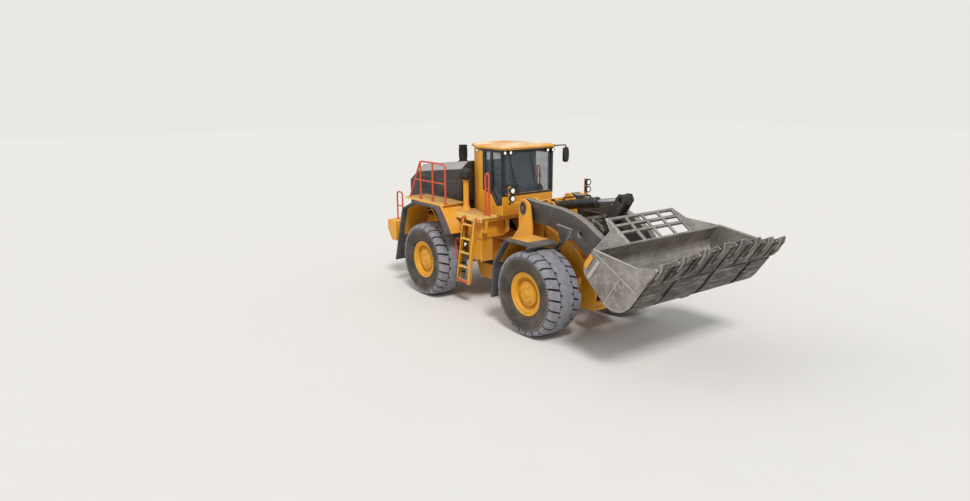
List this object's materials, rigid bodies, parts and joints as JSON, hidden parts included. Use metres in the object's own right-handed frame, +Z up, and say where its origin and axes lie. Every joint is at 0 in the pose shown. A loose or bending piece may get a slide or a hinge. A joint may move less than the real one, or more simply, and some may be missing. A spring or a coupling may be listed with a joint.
{
  "type": "articulated_wheel_loader",
  "caption": "Articulated quarry wheel loader with a spade-nose rock bucket on a Z-bar boom, hollow cab with door, hinged engine doors, ladders and handrails.",
  "frame": {"origin": "on the ground in the middle of the machine's length and width, 0.876 m ahead of the steering hinge", "axes": "+X forward, +Y to the driver's left, +Z up, with the machine straight and the bucket rolled back"},
  "size_m": [10.7918, 3.98, 4.15],
  "materials": {
    "tyre_rubber": "dusty worn tread",
    "rim_paint": "glossy yellow",
    "frame_paint": "dusty yellow",
    "body_paint": "satin yellow",
    "pin_steel": "machined",
    "arm_paint": "dusty dark grey",
    "cylinder_paint": "satin black",
    "rod_chrome": "polished",
    "bucket_steel": "worn, scraped bare",
    "tinted_glass": "dark tint",
    "seat_fabric": "woven",
    "black_plastic": "moulded",
    "hood_paint": "satin charcoal",
    "engine_iron": "rough",
    "exhaust_black": "heat-resistant matt black",
    "rail_paint": "satin orange"
  },
  "bodies": {
    "rear": {"rear_axle": "frame_paint", "rear_frame": "frame_paint", "cab_shell": "body_paint", "cab_roof": "body_paint", "cab_glass": "tinted_glass", "driver_seat": "seat_fabric", "steering_column": "black_plastic", "hood": "hood_paint", "engine": "engine_iron", "counterweight": "frame_paint", "exhaust_stack": "exhaust_black", "pre_cleaner": "black_plastic", "mirror": "black_plastic", "platform_left": "body_paint", "side_tank_left": "frame_paint", "rear_fender_left": "body_paint", "handrails_left": "rail_paint", "platform_right": "body_paint", "side_tank_right": "frame_paint", "rear_fender_right": "body_paint", "handrails_right": "rail_paint"},
    "front": {"front_frame": "frame_paint", "front_axle": "frame_paint", "front_fender_left": "body_paint", "front_fender_right": "body_paint", "headlamp_left": "frame_paint", "headlamp_right": "frame_paint"},
    "boom": {"boom": "arm_paint"},
    "bucket": {"bucket": "bucket_steel"},
    "bucket_carrier": {"bucket_pins": "pin_steel"},
    "crank_carrier": {"crank_pin": "pin_steel"},
    "bell_crank": {"bell_crank": "cylinder_paint"},
    "link_carrier": {"link_pin": "pin_steel"},
    "bucket_link": {"bucket_link": "cylinder_paint"},
    "tilt_carrier": {"tilt_base_pin": "pin_steel"},
    "tilt_barrel": {"tilt_barrel": "cylinder_paint"},
    "tilt_rod": {"tilt_rod": "rod_chrome"},
    "cab_door": {"cab_door": "body_paint", "door_glass": "tinted_glass"},
    "rear_grille": {"rear_grille": "hood_paint"},
    "engine_door_left": {"engine_door_left": "hood_paint"},
    "lift_barrel_left": {"lift_barrel_left": "cylinder_paint"},
    "lift_rod_left": {"lift_rod_left": "rod_chrome"},
    "steer_barrel_left": {"steer_barrel_left": "cylinder_paint"},
    "steer_rod_left": {"steer_rod_left": "rod_chrome"},
    "engine_door_right": {"engine_door_right": "hood_paint"},
    "lift_barrel_right": {"lift_barrel_right": "cylinder_paint"},
    "lift_rod_right": {"lift_rod_right": "rod_chrome"},
    "steer_barrel_right": {"steer_barrel_right": "cylinder_paint"},
    "steer_rod_right": {"steer_rod_right": "rod_chrome"},
    "wheel_front_left": {"tyre_front_left": "tyre_rubber", "rim_front_left": "rim_paint"},
    "wheel_front_right": {"tyre_front_right": "tyre_rubber", "rim_front_right": "rim_paint"},
    "wheel_rear_left": {"tyre_rear_left": "tyre_rubber", "rim_rear_left": "rim_paint"},
    "wheel_rear_right": {"tyre_rear_right": "tyre_rubber", "rim_rear_right": "rim_paint"}
  },
  "joints": [
    {"name": "front_left_wheel_spin", "type": "hinge", "parent": "front", "child": "wheel_front_left", "pos_m": [1.274, 1.342, 1], "axis": [0, 1, 0], "continuous": true},
    {"name": "front_right_wheel_spin", "type": "hinge", "parent": "front", "child": "wheel_front_right", "pos_m": [1.274, -1.342, 1], "axis": [0, 1, 0], "continuous": true},
    {"name": "rear_left_wheel_spin", "type": "hinge", "parent": "rear", "child": "wheel_rear_left", "pos_m": [-3.026, 1.342, 1], "axis": [0, 1, 0], "continuous": true},
    {"name": "rear_right_wheel_spin", "type": "hinge", "parent": "rear", "child": "wheel_rear_right", "pos_m": [-3.026, -1.342, 1], "axis": [0, 1, 0], "continuous": true},
    {"name": "steering", "type": "hinge", "parent": "rear", "child": "front", "pos_m": [-0.876, 0, 0.68], "axis": [0, 0, 1], "range_deg": [-37, 37]},
    {"name": "boom_lift", "type": "hinge", "parent": "front", "child": "boom", "pos_m": [0.274, 0, 2.76], "axis": [0, -1, 0], "range_deg": [-14, 60]},
    {"name": "bucket_level", "type": "hinge", "parent": "boom", "child": "bucket_carrier", "pos_m": [3.674, 0, 1.22], "axis": [0, -1, 0], "range_deg": [-46.03, 10.76]},
    {"name": "bucket_tilt", "type": "hinge", "parent": "bucket_carrier", "child": "bucket", "pos_m": [3.674, 0, 1.22], "axis": [0, 1, 0], "range_deg": [0, 110]},
    {"name": "crank_level", "type": "hinge", "parent": "boom", "child": "crank_carrier", "pos_m": [2.074, 0, 2.4], "axis": [0, -1, 0], "range_deg": [-3.67, 15.63]},
    {"name": "crank_turn", "type": "hinge", "parent": "crank_carrier", "child": "bell_crank", "pos_m": [2.074, 0, 2.4], "axis": [0, -1, 0], "range_deg": [-0.3, 38.69]},
    {"name": "link_level", "type": "hinge", "parent": "bell_crank", "child": "link_carrier", "pos_m": [2.174, 0, 1.25], "axis": [0, -1, 0], "range_deg": [-20.91, 4.9]},
    {"name": "link_turn", "type": "hinge", "parent": "link_carrier", "child": "bucket_link", "pos_m": [2.174, 0, 1.25], "axis": [0, -1, 0], "range_deg": [-65.53, 0.3]},
    {"name": "tilt_cylinder_level", "type": "hinge", "parent": "front", "child": "tilt_carrier", "pos_m": [0.424, 0, 2.74], "axis": [0, -1, 0], "range_deg": [-15.74, 66.48]},
    {"name": "tilt_cylinder_turn", "type": "hinge", "parent": "tilt_carrier", "child": "tilt_barrel", "pos_m": [0.424, 0, 2.74], "axis": [0, -1, 0], "range_deg": [-0.3, 8.55]},
    {"name": "tilt_rod_slide", "type": "slide", "parent": "tilt_barrel", "child": "tilt_rod", "axis": [0.9834, 0, 0.1813], "range_m": [-0.5684, 0.002]},
    {"name": "lift_cylinder_turn_left", "type": "hinge", "parent": "front", "child": "lift_barrel_left", "pos_m": [0.174, 0.74, 0.75], "axis": [0, -1, 0], "range_deg": [-5.06, 20.7]},
    {"name": "lift_rod_slide_left", "type": "slide", "parent": "lift_barrel_left", "child": "lift_rod_left", "axis": [0.6751, 0, 0.7378], "range_m": [-0.2586, 1.1016]},
    {"name": "steering_cylinder_turn_left", "type": "hinge", "parent": "rear", "child": "steer_barrel_left", "pos_m": [-1.726, 0.575, 1.05], "axis": [0, 0, 1], "range_deg": [-16.21, 16.21]},
    {"name": "steering_rod_slide_left", "type": "slide", "parent": "steer_barrel_left", "child": "steer_rod_left", "axis": [0.9995, 0.031, 0], "range_m": [-0.3849, 0.3849]},
    {"name": "lift_cylinder_turn_right", "type": "hinge", "parent": "front", "child": "lift_barrel_right", "pos_m": [0.174, -0.74, 0.75], "axis": [0, -1, 0], "range_deg": [-5.06, 20.7]},
    {"name": "lift_rod_slide_right", "type": "slide", "parent": "lift_barrel_right", "child": "lift_rod_right", "axis": [0.6751, 0, 0.7378], "range_m": [-0.2586, 1.1016]},
    {"name": "steering_cylinder_turn_right", "type": "hinge", "parent": "rear", "child": "steer_barrel_right", "pos_m": [-1.726, -0.575, 1.05], "axis": [0, 0, 1], "range_deg": [-16.21, 16.21]},
    {"name": "steering_rod_slide_right", "type": "slide", "parent": "steer_barrel_right", "child": "steer_rod_right", "axis": [0.9995, -0.031, 0], "range_m": [-0.3849, 0.3849]},
    {"name": "cab_door_swing", "type": "hinge", "parent": "rear", "child": "cab_door", "pos_m": [-1.396, 0.83, 3.2], "axis": [0, 0, 1], "range_deg": [0, 85]},
    {"name": "engine_door_swing_left", "type": "hinge", "parent": "rear", "child": "engine_door_left", "pos_m": [-3.601, 0.846, 3.16], "axis": [1, 0, 0], "range_deg": [0, 70]},
    {"name": "engine_door_swing_right", "type": "hinge", "parent": "rear", "child": "engine_door_right", "pos_m": [-3.601, -0.846, 3.16], "axis": [-1, 0, 0], "range_deg": [0, 70]},
    {"name": "rear_grille_swing", "type": "hinge", "parent": "rear", "child": "rear_grille", "pos_m": [-5.0563, 0.76, 2.45], "axis": [0, 0, -1], "range_deg": [0, 100]}
  ],
  "couplings": [
    {"joint": "bucket_level", "follows": "boom_lift", "ratio": -0.7667},
    {"joint": "crank_level", "follows": "boom_lift", "ratio": 0.26},
    {"joint": "crank_turn", "follows": "bucket_tilt", "ratio": 0.349},
    {"joint": "link_level", "follows": "boom_lift", "ratio": -0.348},
    {"joint": "link_turn", "follows": "bucket_tilt", "ratio": -0.593},
    {"joint": "tilt_cylinder_level", "follows": "boom_lift", "ratio": 1.103},
    {"joint": "tilt_cylinder_turn", "follows": "bucket_tilt", "ratio": 0.075},
    {"joint": "tilt_rod_slide", "follows": "bucket_tilt", "m_per_rad": -0.295},
    {"joint": "lift_cylinder_turn_left", "follows": "boom_lift", "ratio": 0.34},
    {"joint": "lift_rod_slide_left", "follows": "boom_lift", "m_per_rad": 1.05},
    {"joint": "steering_cylinder_turn_left", "follows": "steering", "ratio": 0.43},
    {"joint": "steering_rod_slide_left", "follows": "steering", "m_per_rad": -0.593},
    {"joint": "lift_cylinder_turn_right", "follows": "boom_lift", "ratio": 0.34},
    {"joint": "lift_rod_slide_right", "follows": "boom_lift", "m_per_rad": 1.05},
    {"joint": "steering_cylinder_turn_right", "follows": "steering", "ratio": 0.43},
    {"joint": "steering_rod_slide_right", "follows": "steering", "m_per_rad": 0.593}
  ]
}
